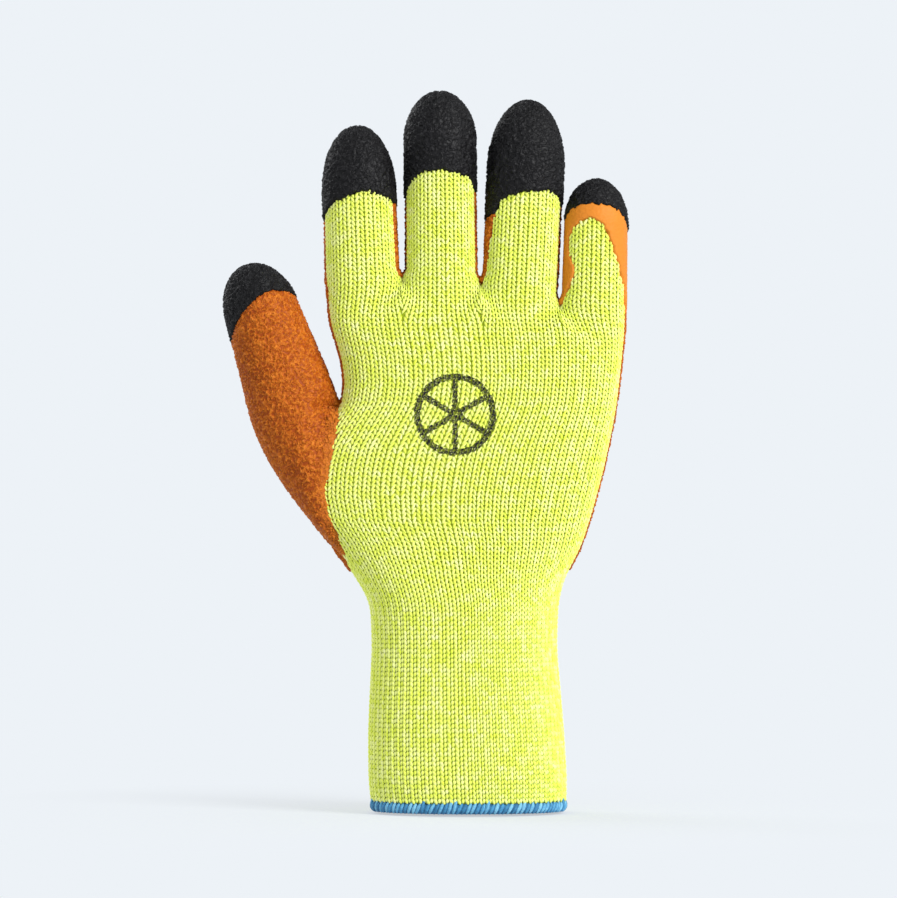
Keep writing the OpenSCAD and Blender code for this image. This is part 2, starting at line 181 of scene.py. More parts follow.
# ---------------------------------------------------------------------------------------------
# Cuff: the lower end of the liner, which is knitted in one piece without a seam from seven-gauge acrylic
# in plain knit, so that every stitch shows as a V of two legs. In the cuff it is knitted slacker, over
# elastic threads: its left legs show as long pale strokes and its right legs as short dashes.
cuff_top = 62.0
raw_edge, lowest_row = 1.2, 4.2  # heights of the cloth's raw edge and of the lowest stitches shown
joints = {j["name"]: j for j in frame["joints"]}
wrist_z = 1000 * joints["wrist_bend"]["pos_m"][2]
fold_depth = 4  # of the fold lines below the fingers' middle planes, towards the palm
crotch_drop = 4.2  # of a crotch below the lower of its two fingers' base folds
web = 16  # height over which the hand parts into fingers
crotch_lip = 2  # height above a crotch at which its two fingers are apart
tip_inset = 1.6  # of a digit's skin below the top of its solid


def smooth(value, low, high):
    """0 below low, 1 above high, and an even swing between."""
    t = np.clip((value - low) / (high - low), 0, 1)
    return t * t * (3 - 2 * t)


class Digit:
    """A finger or the thumb: its base fold, its directions and its sizes."""

    def __init__(self, name, widths, depth, rounded):
        axis = joints[name + "_base_bend"]["axis"]
        level = math.hypot(axis[0], axis[2])
        lean = math.atan2(axis[2], -axis[0])
        self.name = name
        self.up = np.array([math.sin(lean), 0, math.cos(lean)])
        self.across = np.array([math.cos(lean), 0, -math.sin(lean)])
        spot = 1000 * np.array(joints[name + "_base_bend"]["pos_m"])
        self.base = spot - fold_depth * (axis[1] * self.across + level * np.array([0, 1, 0]))
        kinds = ("base", "middle", "end") if name != "thumb" else ("base", "end")
        spots = [1000 * np.array(joints[f"{name}_{kind}_bend"]["pos_m"]) for kind in kinds]
        self.folds = [float((p - spot) @ self.up) for p in spots]
        top = 1000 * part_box(name + "_tip_dip")[1].z
        self.length = (top - self.base[2]) / self.up[2] - tip_inset
        self.widths, self.depth, self.rounded = widths, depth, rounded
        self.start = self.length - rounded
        self.end = self.start + rounded * math.pi / 2

    def skin(self, turn, along):
        """Points on the digit: turn is 0 at the back and a quarter at its right."""
        bend = np.clip((along - self.start) / self.rounded, 0, math.pi / 2)
        rise = np.where(along < self.start, along, self.start + self.rounded * np.sin(bend))
        half = np.interp(along, [0, self.start], self.widths) * np.cos(bend)
        deep = self.depth * np.cos(bend)
        return (self.base + np.outer(half * np.sin(turn), self.across)
                - np.outer(deep * np.cos(turn), [0, 1, 0]) + np.outer(rise, self.up))


# Each digit's half widths at its base and near its tip, half depth and length of its rounded end.
fingers = [Digit("index", (12.9, 12.5), 11.2, 23.5), Digit("middle", (12.5, 12.2), 11.2, 17.5),
           Digit("ring", (13.1, 13.1), 11.4, 24.5), Digit("little", (11.3, 10.9), 10.1, 16.5)]

# The hand is one oval that changes with height, from the hem to the crotches of the fingers.
crotch_z = fingers[0].base[2] - 5.5
hand_len = crotch_z - wrist_z
outline = np.array([  # height, centre, half width, half depth and squareness of the oval
    (0, 0, 35.4, 23.7, 2.1), (4.8, 0, 35.4, 23.7, 2.1), (9.3, -0.3, 36.2, 24.5, 2.1),
    (31, -1, 35.6, 24, 2.1), (60.5, -1.6, 33.6, 23, 2.1), (wrist_z, -1.6, 34.3, 23, 2.15),
    (wrist_z + hand_len * 0.08, -3.4, 38.6, 21.2, 2.2), (wrist_z + hand_len * 0.16, -3.6, 44.3, 20, 2.25),
    (wrist_z + hand_len * 0.27, -2.4, 47.2, 19.5, 2.3), (wrist_z + hand_len * 0.42, -0.5, 50, 19.1, 2.4),
    (wrist_z + hand_len * 0.60, 4.6, 49.2, 18.5, 2.5), (wrist_z + hand_len * 0.76, 4.9, 51, 17.5, 2.6),
    (wrist_z + hand_len * 0.88, 3.2, 54, 15.3, 2.7), (wrist_z + hand_len * 0.955, 2.7, 54, 12.6, 2.8)])
thumb_swell = (  # height, and how far the left side swells there towards the thumb
    (90, 0), (98, 2), (107, 8), (116, 10), (134, 9), (142, 6), (150, 1.5), (157, 0))
oval_steps = 120
levels = np.arange(0, 206)  # each millimetre of height up to the fingers


def softened(row):
    """A column of the outline at each millimetre of height, with its corners worn off."""
    values = np.interp(levels, outline[:, 0], row)
    for _ in range(2):
        values = np.convolve(np.pad(values, 4, mode="edge"), np.ones(9) / 9, mode="valid")
    return values


def hand_ovals():
    """The back half of the oval at each level, from the thumb's side, in even steps."""
    swing = np.linspace(math.pi, 2 * math.pi, 361)
    swell = np.interp(levels, *zip(*thumb_swell))
    halves = []
    for centre, wide, deep, square, more in zip(*(softened(outline[:, i]) for i in range(1, 5)), swell):
        c, s = np.cos(swing), np.sin(swing)
        x = centre + np.where(c < 0, wide + more, wide) * np.sign(c) * np.abs(c) ** (2 / square)
        y = -deep * np.abs(s) ** (2 / square)
        run = np.concatenate([[0], np.cumsum(np.hypot(np.diff(x), np.diff(y)))])
        even = np.linspace(0, run[-1], oval_steps + 1)
        halves.append((np.interp(even, run, x), np.interp(even, run, y)))
    return np.array(halves)


ovals = hand_ovals()


def oval_skin(share, height):
    """A point of the oval: share is 0 at the thumb's side, 1 at the other, and 2 round the palm."""
    share = np.mod(share, 2)
    across = np.clip(np.where(share <= 1, share, 2 - share) * oval_steps, 0, oval_steps - 1e-6)
    level = np.clip(height, 0, levels[-1] - 1e-6)
    i, j = across.astype(int), level.astype(int)
    u, v = (across - i)[:, None], (level - j)[:, None]
    low = ovals[j, :, i] * (1 - u) + ovals[j, :, i + 1] * u
    high = ovals[j + 1, :, i] * (1 - u) + ovals[j + 1, :, i + 1] * u
    flat = low * (1 - v) + high * v
    return np.column_stack([flat[:, 0], np.where(share <= 1, 1, -1) * flat[:, 1], height])


# Each finger has its own strip of the hand, from the hem to the fingertip, on which its wales run.
for left, right in zip(fingers, fingers[1:]):
    edges = left.base[0] + left.widths[0], right.base[0] - right.widths[0]
    low = min(left.base[2], right.base[2]) - crotch_drop
    level = int(low)
    share = float(np.interp(sum(edges) / 2, ovals[level, 0], np.linspace(0, 1, oval_steps + 1)))
    left.right_share = right.left_share = share
    left.right_crotch = right.left_crotch = low
    left.right_near, right.left_near = right, left
fingers[0].left_share, fingers[-1].right_share = 0.0, 1.0
for outer, side, inner in ((fingers[0], "left", "right"), (fingers[-1], "right", "left")):
    setattr(outer, side + "_crotch", getattr(outer, inner + "_crotch"))
    setattr(outer, side + "_near", None)


def parted(finger, side, height, palm=False):
    """How far the strip is a finger at this height: 0 in the hand, 1 above the crotch."""
    crotch = finger.left_crotch + (finger.right_crotch - finger.left_crotch) * (side + 1) / 2
    beside = np.where(np.asarray(side) < 0, finger.left_near is not None, finger.right_near is not None)
    late = np.where(palm & beside, 0, 0.6 * np.square(side))  # the palm's creases run further down
    return smooth(height, crotch - web * (1 - late), crotch + crotch_lip)


def strip_skin(finger):
    """The skin of one finger's strip: across runs from -1 to 1, on the back or on the palm."""
    def skin(across, palm, height):
        within = np.clip(across, -1, 1)
        across = np.where(height < min(finger.left_crotch, finger.right_crotch) - web, across, within)
        share = finger.left_share + (finger.right_share - finger.left_share) * (across + 1) / 2
        hand = oval_skin(2 - share if palm else share, height)
        across = within
        quarter = np.full(len(across), math.pi / 2)
        turn = math.pi - across * quarter if palm else across * quarter
        own = finger.skin(turn, height - finger.base[2])
        for sign, other, crotch in ((-1, finger.left_near, finger.left_crotch),
                                    (1, finger.right_near, finger.right_crotch)):
            if other:
                side = finger.skin(sign * quarter, height - finger.base[2])
                facing = other.skin(-sign * quarter, height - other.base[2])
                share = np.maximum(sign * across, 0) ** 2 * (1 - smooth(height, crotch + 1, crotch + 5))
                own += (facing - side) / 2 * share[:, None]
        own_share = parted(finger, across, height, palm)[:, None]
        return hand * (1 - own_share) + own * own_share
    return skin


def laid(skin, across, palm, height, lift):
    """Points at a distance from a skin, in metres."""
    aside, up = 0.01, 0.4
    over = skin(across + aside, palm, height) - skin(across - aside, palm, height)
    along = skin(across, palm, height + up) - skin(across, palm, height - up)
    out = np.cross(over, along) * (-1 if palm else 1)
    size = np.linalg.norm(out, axis=1)[:, None]
    out = np.where(size > 1e-4, out / np.maximum(size, 1e-9), [0, 0, 1])
    return (skin(across, palm, height) + out * np.asarray(lift)[:, None]) / 1000


def grid(columns, rows):
    """A flat sheet of faces and its points, from -1 to 1 both ways."""
    form = bmesh.new()
    bmesh.ops.create_grid(form, x_segments=columns, y_segments=rows, size=1)
    form.verts.ensure_lookup_table()
    return form, np.array([v.co for v in form.verts])


def blank():
    """An empty form that can hold every attribute the finishes read."""
    form = bmesh.new()
    for name in ("leg_shade", "relief", "calm"):
        form.verts.layers.float.new(name)
    return form


def gather(form, part):
    """Adds one form to another and frees it."""
    mesh = bpy.data.meshes.new("part")
    part.to_mesh(mesh)
    part.free()
    form.from_mesh(mesh)
    bpy.data.meshes.remove(mesh)


def finished(name, form, finishes, bodies, stands_for=()):
    """Turns a form into a named piece with its finishes: it hangs on its body when it has one, and is laid
    in world space when it has two.
    """
    mesh = bpy.data.meshes.new(name)
    form.to_mesh(mesh)
    form.free()
    for finish in finishes:
        mesh.materials.append(finish.owner)
    mesh.shade_smooth()
    piece = bpy.data.objects.new(name, mesh)
    scene.collection.objects.link(piece)
    if len(bodies) == 1:
        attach(piece, bodies[0])
    else:
        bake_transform(piece)
    if stands_for:
        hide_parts(*stands_for)


# The cloth is knitted flat as a swatch and laid on its strip. Below it lies its inside, coloured a darker
# olive as painted shade that shows through the holes between the stitches.
wale, course = 3.0, 1.7  # width and height of one stitch on the swatch
cloth_low, cloth_thick = -0.8, 1.6  # of the cloth below the stitches, measured from the skin
palm_wales, finger_wales = (10, 8, 10, 10), (12, 12, 12, 10)  # of each strip, in the hand and above
slack_below, tight_above = 60, 108  # heights between which the cuff's slack stitches tighten
arch = 0.22  # of a leg, over the leg of the stitch below
overhang = 0.2  # by which share of its width a stitch's middle may lie outside its strip
hand_legs = (  # of each leg of a stitch its foot, its head, its half width and its half thickness
    ((-0.2, -1.4, -0.15), (-1.4, 1.3, -0.58), 0.5, 0.42),
    ((0.2, -1.4, -0.15), (1.4, 1.3, -0.58), 0.5, 0.42))
cuff_legs = (
    ((0.2, -1.3, -0.1), (-0.95, 1.3, -0.42), 0.72, 0.46),
    ((0.9, -0.9, -0.3), (1.4, 0.9, -0.45), 0.72, 0.4))


def stitch(legs):
    """One stitch of two legs, about the origin."""
    form = bmesh.new()
    for foot, head, wide, thick in legs:
        foot, head = Vector(foot), Vector(head)
        run, middle = (head - foot) / 2, (head + foot) / 2
        beside = Vector((run.y, -run.x, 0)).normalized()
        for v in bmesh.ops.create_uvsphere(form, u_segments=6, v_segments=5, radius=1)["verts"]:
            x, y, z = v.co
            v.co = middle + run * z + beside * x * wide + Vector((0, 0, y * thick + arch * (1 - z * z)))
    bmesh.ops.recalc_face_normals(form, faces=form.faces)
    mesh = bpy.data.meshes.new("stitch")
    form.to_mesh(mesh)
    form.free()
    return mesh


hand_stitch, cuff_stitch = stitch(hand_legs), stitch(cuff_legs)
slackened = np.array([a.co - b.co for a, b in zip(cuff_stitch.vertices, hand_stitch.vertices)])


def swatch(wales, courses):
    """Flat knitting with its first stitch on the origin."""
    knitting = bpy.data.objects.new("swatch", hand_stitch)
    scene.collection.objects.link(knitting)
    for count, step in ((wales, (wale, 0, 0)), (courses, (0, course, 0))):
        rows = knitting.modifiers.new("rows", "ARRAY")
        rows.use_relative_offset, rows.use_constant_offset = False, True
        rows.count, rows.constant_offset_displace = count, step
    depsgraph = bpy.context.evaluated_depsgraph_get()
    whole = bpy.data.meshes.new_from_object(knitting.evaluated_get(depsgraph))
    bpy.data.objects.remove(knitting)
    return whole


def knit(form, finger, palm, low, high, kept):
    """Adds the stitches of a strip between two heights, where kept says so."""
    number = fingers.index(finger)
    first, last = math.ceil(low / course), math.ceil(high / course)
    wales = max(palm_wales[number], finger_wales[number])
    if last <= first:
        return
    cloth, size = swatch(wales, last - first), len(slackened)
    flat = np.empty(len(cloth.vertices) * 3)
    cloth.vertices.foreach_get("co", flat)
    flat = flat.reshape(-1, 3) + [(1 - wales) * wale / 2, first * course, 0]
    number_of = np.arange(len(flat)) // size
    middle = np.column_stack([(number_of % wales - (wales - 1) / 2) * wale,
                              (first + number_of // wales) * course])
    slack = 1 - smooth(middle[:, 1], slack_below, tight_above)
    flat += slack[:, None] * np.tile(slackened, (number_of[-1] + 1, 1))

    def shares(height):
        own = parted(finger, 0, height)
        return 2 / (palm_wales[number] * (1 - own) + finger_wales[number] * own)

    across = flat[:, 0] / wale * shares(flat[:, 1])
    centre = middle[:, 0] / wale * shares(middle[:, 1])
    skin = strip_skin(finger)
    stays = np.abs(centre) - overhang * shares(middle[:, 1]) < 1
    centre = np.clip(centre, -1, 1)
    stays &= kept(centre, palm, middle[:, 1], skin(centre, palm, middle[:, 1]))
    cloth.vertices.foreach_set("co", laid(skin, across, palm, flat[:, 1], flat[:, 2]).ravel())
    shades = np.random.default_rng(11 * number + 3 * palm + int(low)).random(2 * (number_of[-1] + 1))
    which = 2 * number_of + (np.arange(len(flat)) % size >= size // 2)
    cloth.attributes.new("leg_shade", "FLOAT", "POINT").data.foreach_set("value", shades[which].astype("f"))
    part = bmesh.new()
    part.from_mesh(cloth)
    if palm:
        bmesh.ops.reverse_faces(part, faces=part.faces)
    bmesh.ops.delete(part, geom=[v for v, stay in zip(part.verts[:], stays) if not stay], context="VERTS")
    gather(form, part)


def backing(form, finger, palm, low, high):
    """The inside of the cloth below the stitches, as a sheet with a thickness."""
    skin = strip_skin(finger)
    part = bmesh.new()
    for lift in (cloth_low, cloth_low - cloth_thick):
        sheet, flat = grid(20, max(1, round((high - low) / 2)))
        height = low + (flat[:, 1] + 1) / 2 * (high - low)
        for v, point in zip(sheet.verts, laid(skin, flat[:, 0], palm, height, np.full(len(flat), lift))):
            v.co = point
        if palm == (lift == cloth_low):
            bmesh.ops.reverse_faces(sheet, faces=sheet.faces)
        gather(part, sheet)
    bmesh.ops.bridge_loops(part, edges=[e for e in part.edges if e.is_boundary])
    # Its faces take the second finish: the yarn painted darker as shade.
    for f in part.faces:
        f.material_index = 1
    gather(form, part)


yarn = Finish(bpy.data.materials.new("hi_vis_yarn"))
yarn_in_painted_shade = Finish(bpy.data.materials.new("shaded_yarn"))


def yarn_tint(finish):
    """The yarn's colour: pale and strong legs, blotches where it is worn paler, and its fibres."""
    spot = finish.add("ShaderNodeTexCoord", output=3)
    blotch = finish.add("ShaderNodeTexNoise", None, {"Vector": spot, "Scale": 330, "Detail": 3})
    fibre = finish.add("ShaderNodeTexNoise", None, {"Vector": spot, "Scale": 2600, "Detail": 2})
    leg_shade = finish.add("ShaderNodeAttribute", {"attribute_name": "leg_shade"}, output=2)
    pale = leg_shade * 0.3 + blotch * 0.6 + fibre * 0.35
    stops = (0.36, colour("#dcea40")), (0.6, colour("#eaf56c")), (0.88, colour("#f6fbac"))
    return finish.add("ShaderNodeValToRGB", {"stops": stops}, {0: pale}), fibre


def yarn_cover(finish, tint, fibre):
    """The yarn's surface: matt, with a soft sheen of loose fibres."""
    hair = finish.add("ShaderNodeBump", None, {"Strength": 0.5, "Distance": 0.0002, "Height": fibre})
    finish.add("ShaderNodeOutputMaterial", None, {0: finish.add("ShaderNodeBsdfPrincipled", None, {
        "Base Color": tint, "Roughness": 0.85, "Specular IOR Level": 0.2, "Sheen Weight": 0.25,
        "Sheen Roughness": 0.5, "Normal": hair})})


yarn_cover(yarn, *yarn_tint(yarn))
# The cloth's inside: the same yarn painted a darker olive, a painted shade for the holes between the
# stitches, mottled at random.
deep = yarn_in_painted_shade.add("ShaderNodeTexNoise", None, {
    "Vector": yarn_in_painted_shade.add("ShaderNodeTexCoord", output=3), "Scale": 900, "Detail": 2})
painted_shade_tint = yarn_in_painted_shade.mix(deep, colour("#aabd26"), colour("#d0de46"))
yarn_in_painted_shade.add("ShaderNodeOutputMaterial", None, {0: yarn_in_painted_shade.add("ShaderNodeBsdfPrincipled", None, {
    "Base Color": painted_shade_tint, "Roughness": 0.95, "Specular IOR Level": 0.1})})


def all_kept(across, palm, height, at):
    """No latex reaches the cuff."""
    return np.ones(len(at), bool)


for palm, name, nodes in ((False, "cuff_back", ["cuff_knit"]), (True, "cuff_palm", [])):
    form = blank()
    for finger in fingers:
        knit(form, finger, palm, lowest_row, cuff_top, all_kept)
        backing(form, finger, palm, raw_edge, cuff_top)
    finished(name, form, [yarn, yarn_in_painted_shade], ["cuff"], stands_for=nodes)

elastic = Finish(bpy.data.materials.new("covered_elastic"))
cover = elastic.add("ShaderNodeTexWave", {"bands_direction": "DIAGONAL"}, {
    "Vector": elastic.add("ShaderNodeTexCoord", output=3), "Scale": 900, "Distortion": 2.0}, output=1)
elastic.add("ShaderNodeOutputMaterial", None, {0: elastic.add("ShaderNodeBsdfPrincipled", None, {
    "Base Color": elastic.mix(cover, colour("#c9cdb8"), colour("#eceee2")), "Roughness": 0.8})})
bpy.data.objects["cuff_elastic"].material_slots[0].material = elastic.owner

# ---------------------------------------------------------------------------------------------
# Hem: blue overlock thread round the knit's raw edge, a rolled rim wrapped in slanted thread, some of
# its loops longer and spiking up between the stitches.
hem_middle, hem_half = 2.2, 2.1  # height of the rim's middle and half its height
wraps, wrap_top, spikes = 112, 4.5, 0.14  # the last is the share of the loops that spike up


def hem_skin(across, palm, height):
    """The oval all round: across is its share."""
    return oval_skin(across, height)


form = blank()
part, flat = grid(240, 12)
roll = flat[:, 1] * math.pi
rim = laid(hem_skin, flat[:, 0] + 1, False, hem_middle + hem_half * np.sin(roll) * 0.94,
           -1.3 + 1.6 * np.cos(roll))
# The rim carries no leg_shade of its own, so it takes the thread's darkest blue: a painted shade in the
# grooves between the wraps.
for v, point in zip(part.verts, rim):
    v.co = point
bmesh.ops.remove_doubles(part, verts=part.verts, dist=0.00002)
bmesh.ops.recalc_face_normals(part, faces=part.faces)
gather(form, part)
draw, part = np.random.default_rng(3), bmesh.new()
shade_of = part.verts.layers.float.new("leg_shade")
for i in range(wraps):
    top = wrap_top + draw.uniform(-0.4, 0.5) + (draw.uniform(0.5, 2.2) if draw.random() < spikes else 0)
    slant, shade_here = draw.uniform(0.8, 1.4), draw.random()
    for v in bmesh.ops.create_uvsphere(part, u_segments=6, v_segments=7, radius=1)["verts"]:
        x, y, z = v.co
        v.co = ((i + 0.5 * slant * z + 0.46 * x) * 2 / wraps, 0.1 + (z + 1) / 2 * (top - 0.1),
                0.2 - 0.8 * z * z + 0.6 * y)
        v[shade_of] = shade_here
flat = np.array([v.co for v in part.verts])
for v, point in zip(part.verts, laid(hem_skin, flat[:, 0], False, flat[:, 1], flat[:, 2])):
    v.co = point
bmesh.ops.recalc_face_normals(part, faces=part.faces)
gather(form, part)
thread = Finish(bpy.data.materials.new("overlock_thread"))
spot = thread.add("ShaderNodeTexCoord", output=3)
twist = thread.add("ShaderNodeTexNoise", None, {"Vector": spot, "Scale": 1300, "Detail": 2})
# Each wrap has a random tone of blue by its leg_shade. The rim, at 0, takes the darkest blue, as painted
# shade between the wraps.
level = thread.add("ShaderNodeAttribute", {"attribute_name": "leg_shade"}, output=2) * 0.5 + twist * 0.5
tint = thread.add("ShaderNodeValToRGB", {"stops": (
    (0.2, colour("#1f628f")), (0.5, colour("#4494c4")), (0.8, colour("#86c8e6")))}, {0: level})
bump = thread.add("ShaderNodeBump", None, {"Strength": 0.5, "Distance": 0.0002, "Height": twist})
thread.add("ShaderNodeOutputMaterial", None, {0: thread.add("ShaderNodeBsdfPrincipled", None, {
    "Base Color": tint, "Roughness": 0.7, "Sheen Weight": 0.1, "Normal": bump})})
finished("hem", form, [thread], ["cuff"], stands_for=["hem_overlock"])

# ---------------------------------------------------------------------------------------------
# Wrist: the liner runs on into the hand and folds here. The glove is dipped in orange latex over the
# palm, the sides of the fingers and the thumb, and crinkled before it cures: the coat starts here on
# the palm, and on the back of each finger it leaves a tongue of knit.
root_z = 93.5  # where the wrist's pieces end and the fingers' strips start


def edge(*points):
    """An edge of the latex, as places against heights or turns."""
    spots, values = zip(*points)
    return lambda at: np.interp(at, spots, values)


index, middle, ring, little = fingers
# The tongue of knit that the orange leaves on the back of a finger: its left and its right edge, as
# turns in degrees by height.
index.tongue = (edge((135, -78), (150, -92), (157, -78), (192, -78), (199, -85), (217, -88)),
                edge((193.5, 130), (196, 74), (204, 70), (222, 71)))
middle.tongue = (edge((193, -130), (196, -88)), edge((191.5, 130), (195, 82), (231, 80)))
ring.tongue = (edge((191, -130), (194, -72), (200, -70), (210, -63), (218, -52)),
               edge((184, 130), (188, 88)))
little.tongue = (edge((184, -130), (186, -74), (194, -50), (198, -38), (203.3, -54), (206.4, -62),
                      (210.4, -62), (213.5, -52), (216, -34), (217.5, -15)),
                 edge((160, 92), (185, 77), (192.4, 67), (199.1, 51), (205.9, 35), (211.5, 23), (214.9, 12),
                      (217, -5), (219, -40)))
palm_coat_z = 88.0  # where the palm's latex starts
degree = 0.22  # of turn, as a length on a finger
well_inside = 8
orange_lift = 0.7  # of the latex above the skin
edge_sink, edge_low, edge_high = 1.7, -0.7, 0.9  # how deep an edge goes down, and over which width
crinkle_height = 0.7
cell = 0.42  # of a coat's mesh


def wander(points, size, amount, seed=0.0):
    """An uneven shift along an edge."""
    return amount * np.array([noise.noise(Vector(p) / size + Vector((seed, 0, 0))) for p in points])


def orange_reach(finger):
    """How far inside the orange latex a point lies."""
    def reach(across, palm, height, at):
        turn = np.sign(across) * (180 - 90 * np.abs(across)) if palm else 90 * across
        turn = np.where(turn == 0, 180, turn) if palm else turn
        left, right = (edge_at(height) for edge_at in finger.tongue)
        inside = np.maximum(left - turn, turn - right) * degree
        if palm:
            if finger.left_near:
                inside = np.where(across < 0, well_inside, inside)
            if finger.right_near:
                inside = np.where(across > 0, well_inside, inside)
        inside = np.minimum(inside, height - palm_coat_z)
        return inside + wander(at, 1.6, 0.9) + wander(at, 9, 2.2, 5) * (height < 170)
    return reach


def crinkle(points):
    """Worm-like ridges of about a millimetre in two layers, from 0 in the pits to 1."""
    ridge = np.zeros(len(points))
    for size, shift, sharp, most in ((1.7, 0, 0.17, 1), (1.2, 40, 0.18, 0.75)):
        field = np.abs([noise.noise(Vector(p) / size + Vector((shift, 0, 0))) for p in points])
        ridge = np.maximum(ridge, most * (1 - np.minimum(1, field / sharp)))
    return ridge


def coat(form, skin, reach, low, high, lift, width, over=None, calm=None, number=0):
    """Adds a coat of latex on a skin between two heights: its edges go down between the stitches."""
    part = bmesh.new()
    for palm in (False, True):
        sheet, flat = grid(2 * round(width / cell / 2), max(1, round((high - low) / cell)))
        across, height = flat[:, 0], low + (flat[:, 1] + 1) / 2 * (high - low)
        at = skin(across, palm, height)
        inside = reach(across, palm, height, at)
        calmed = calm(across, palm, height, at) if calm else np.zeros(len(at))
        rise = smooth(inside, edge_low, edge_high)
        ridge = crinkle(at)
        lifts = -edge_sink + (lift + edge_sink) * rise
        lifts += rise * crinkle_height * (1 - 0.85 * calmed) * (ridge - 0.3)
        stays = inside > -1.6
        if over:
            above = over(across, palm, height, at)
            lifts -= 0.9 * smooth(above, 0, 1.2)
            stays &= above < 2.5
        if not stays.any():
            sheet.free()
            continue
        for v, point in zip(sheet.verts, laid(skin, across, palm, height, lifts)):
            v.co = point
        mesh = bpy.data.meshes.new("sheet")
        sheet.to_mesh(mesh)
        sheet.free()
        mesh.attributes.new("relief", "FLOAT", "POINT").data.foreach_set("value", ridge.astype("f"))
        mesh.attributes.new("calm", "FLOAT", "POINT").data.foreach_set("value", calmed.astype("f"))
        sheet = bmesh.new()
        sheet.from_mesh(mesh)
        if palm:
            bmesh.ops.reverse_faces(sheet, faces=sheet.faces)
        spare = [v for v, stay in zip(sheet.verts[:], stays) if not stay]
        bmesh.ops.delete(sheet, geom=spare, context="VERTS")
        gather(part, sheet)
    bmesh.ops.remove_doubles(part, verts=part.verts, dist=0.00003)
    for f in part.faces:
        f.material_index = number
    gather(form, part)


def latex(name, low, body, high, calm_tint, rough):
    """A finish for crinkled latex: pits painted darker as shade, the body, and ridges painted lighter as
    highlights.
    """
    finish = Finish(bpy.data.materials.new(name))
    spot = finish.add("ShaderNodeTexCoord", output=3)
    patch = finish.add("ShaderNodeTexNoise", None, {"Vector": spot, "Scale": 120, "Detail": 3})
    grain = finish.add("ShaderNodeTexNoise", None, {"Vector": spot, "Scale": 1500, "Detail": 3})
    relief = finish.add("ShaderNodeAttribute", {"attribute_name": "relief"}, output=2)
    calm = finish.add("ShaderNodeAttribute", {"attribute_name": "calm"}, output=2)
    field = finish.add("ShaderNodeTexNoise", None, {
        "Vector": spot, "Scale": 520, "Detail": 1.5, "Distortion": 0.6})
    worm = finish.add("ShaderNodeMapRange", None, {
        "Value": abs(field - 0.5), 1: 0.0, 2: 0.1, 3: 1.0, 4: 0.0}) * (1 - calm)
    # The colour follows the relief: pits are painted darker as shade, and the ridges and worm lines lighter
    # as painted highlights, over random patches and grain.
    level = relief * 0.45 + worm * 0.3 + patch * 0.25 + grain * 0.1
    stops = (0.2, colour(low)), (0.45, colour(body)), (0.85, colour(high))
    crinkled = finish.add("ShaderNodeValToRGB", {"stops": stops}, {0: level})
    tint = finish.mix(calm, crinkled, colour(calm_tint))
    skin_bump = finish.add("ShaderNodeBump", None, {"Strength": 0.8, "Distance": 0.0004,
                                                  "Height": worm * 0.8 + grain * 0.3})
    finish.add("ShaderNodeOutputMaterial", None, {0: finish.add("ShaderNodeBsdfPrincipled", None, {
        "Base Color": tint, "Roughness": grain * 0.2 + rough, "Specular IOR Level": 0.22,
        "Normal": skin_bump})})
    return finish


# Arguments: the pits' colour (painted shade), the body, the ridges' colour (painted highlight), the smooth
# latex and the roughness.
orange = latex("orange_latex", "#9a4202", "#ba5c06", "#de7e20", "#db8529", 0.45)
thumb_low, thumb_high = 86, 152  # between which the thumb's latex covers the index finger's strip
thumb_line = edge((84, -40.6), (87, -41.7), (96, -45.4), (109, -50.9), (118, -52), (125, -50.9),
                  (140, -48.3), (153.6, -46.1), (155.5, -30))  # x where it ends on the back, by height


def open_knit(finger):
    """Stitches stay where no orange latex covers them whole."""
    orange_in = orange_reach(finger)

    def kept(across, palm, height, at):
        free = orange_in(across, palm, height, at) < 1.3
        if finger is index and not palm:
            free &= (at[:, 0] > thumb_line(height) - 1) | (height > thumb_high) | (height < thumb_low)
        return free
    return kept


for palm, name, nodes in ((False, "wrist_back", ["wrist_fold"]), (True, "wrist_palm", [])):
    form = blank()
    for finger in fingers:
        knit(form, finger, palm, cuff_top, root_z, open_knit(finger))
        backing(form, finger, palm, cuff_top, root_z)
        if palm:
            coat(form, strip_skin(finger), orange_reach(finger), palm_coat_z - 2, root_z, orange_lift, 29,
                 number=2)
    finished(name, form, [yarn, yarn_in_painted_shade, orange], ["cuff", "hand"], nodes)

# ---------------------------------------------------------------------------------------------
# Print on the back of the hand: black ink pressed through a screen into the stitches, a plain ring with
# six arms. The stitches that carry it are a piece of their own, in the place of the plain ones.
print_x, print_z, print_size = -5.0, 145.5, 15.0
line_half, hub = 0.0012, 0.0028  # half the ring's line and the radius of its hub, in metres
inked = Finish(bpy.data.materials.new("printed_yarn"))
tint, fibre = yarn_tint(inked)
spot = inked.add("ShaderNodeTexCoord", output=3)
grain = inked.add("ShaderNodeTexNoise", None, {"Vector": spot, "Scale": 700, "Detail": 2})
ragged = grain * 0.0016 - 0.0008
parts = [inked.add("ShaderNodeSeparateXYZ", None, {0: spot}, output=i) for i in (0, 2)]
x, z = parts[0] - print_x / 1000, parts[1] - print_z / 1000
radius = x.sum("SQRT", x * x + z * z) + ragged
ink = abs(radius - (print_size / 1000 - line_half)) < line_half
for lean in (0, 60, 120):
    off = abs(x * math.cos(math.radians(lean)) + z * math.sin(math.radians(lean))) + ragged
    ink = ink.sum("MAXIMUM", ink, (off < 0.001) * (radius < print_size / 1000))
ink = ink.sum("MAXIMUM", ink, radius < hub) * (fibre.sum("LESS_THAN", fibre, 0.6) * 0.9 + 0.1)
yarn_cover(inked, inked.mix(ink, tint, colour("#14150d")), fibre)


def in_print(at):
    """Which points lie on the print or just beside it."""
    return np.hypot(at[:, 0] - print_x, at[:, 2] - print_z) < print_size + 2


